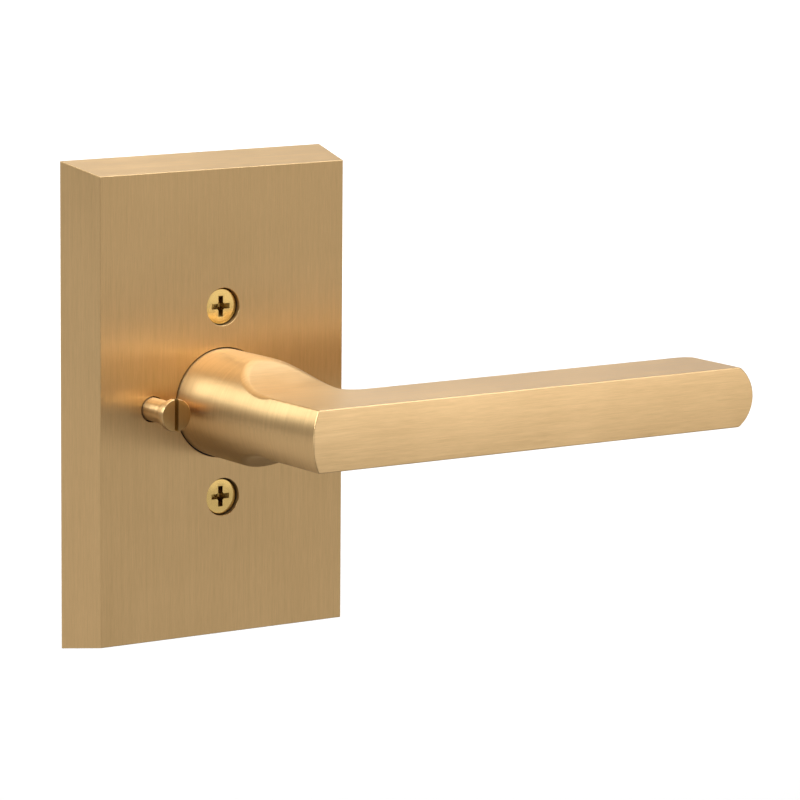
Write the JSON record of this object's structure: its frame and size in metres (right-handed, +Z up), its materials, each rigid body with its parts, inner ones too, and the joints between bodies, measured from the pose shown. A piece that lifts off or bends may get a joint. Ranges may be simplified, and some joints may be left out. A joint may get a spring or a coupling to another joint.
{
  "type": "lever handle lockset",
  "caption": "Inside half of a privacy lever lockset: square-bar lever on a round hub, raked rectangular rose, slotted push pin and two through-screws.",
  "frame": {"origin": "where the lever's axis meets the face of the door, at the centre of the rose's back", "axes": "+X along the lever towards its tip, +Y into the door along the lever's axis, +Z up the rose"},
  "size_m": [0.1387, 0.1077, 0.108],
  "materials": {
    "satin_brass": "satin",
    "bright_brass": "gloss",
    "zinc_steel": "satin",
    "spring_steel": "satin",
    "black_nylon": "matte"
  },
  "bodies": {
    "rose_assembly": {"rose": "satin_brass", "mounting_plate": "zinc_steel", "spring_cage": "zinc_steel", "hub_bushing": "black_nylon", "return_spring": "spring_steel", "mounting_screw_upper": "bright_brass", "mounting_screw_lower": "bright_brass", "cage_rivet_1": "zinc_steel", "cage_rivet_2": "zinc_steel", "plate_screw_1": "zinc_steel", "plate_screw_2": "zinc_steel", "plate_screw_3": "zinc_steel", "plate_screw_4": "zinc_steel", "pin_bushing": "black_nylon", "detent_clip": "spring_steel"},
    "lever_assembly": {"lever": "satin_brass", "spindle": "zinc_steel", "spindle_cross_pin": "spring_steel", "drive_cam": "zinc_steel", "thrust_washer": "zinc_steel", "retaining_ring": "spring_steel"},
    "pin_assembly": {"privacy_pin": "satin_brass", "locking_rod": "zinc_steel", "pin_clip": "spring_steel"}
  },
  "joints": [
    {"name": "lever_turn", "type": "hinge", "parent": "rose_assembly", "child": "lever_assembly", "pos_m": [0, 0, 0], "axis": [0, 1, 0], "range_deg": [-50, 50], "stiffness_Nm_per_rad": 4, "deforming": ["return_spring"]},
    {"name": "pin_push", "type": "slide", "parent": "rose_assembly", "child": "pin_assembly", "axis": [0, 1, 0], "range_m": [0, 0.005], "deforming": ["detent_clip"]}
  ]
}
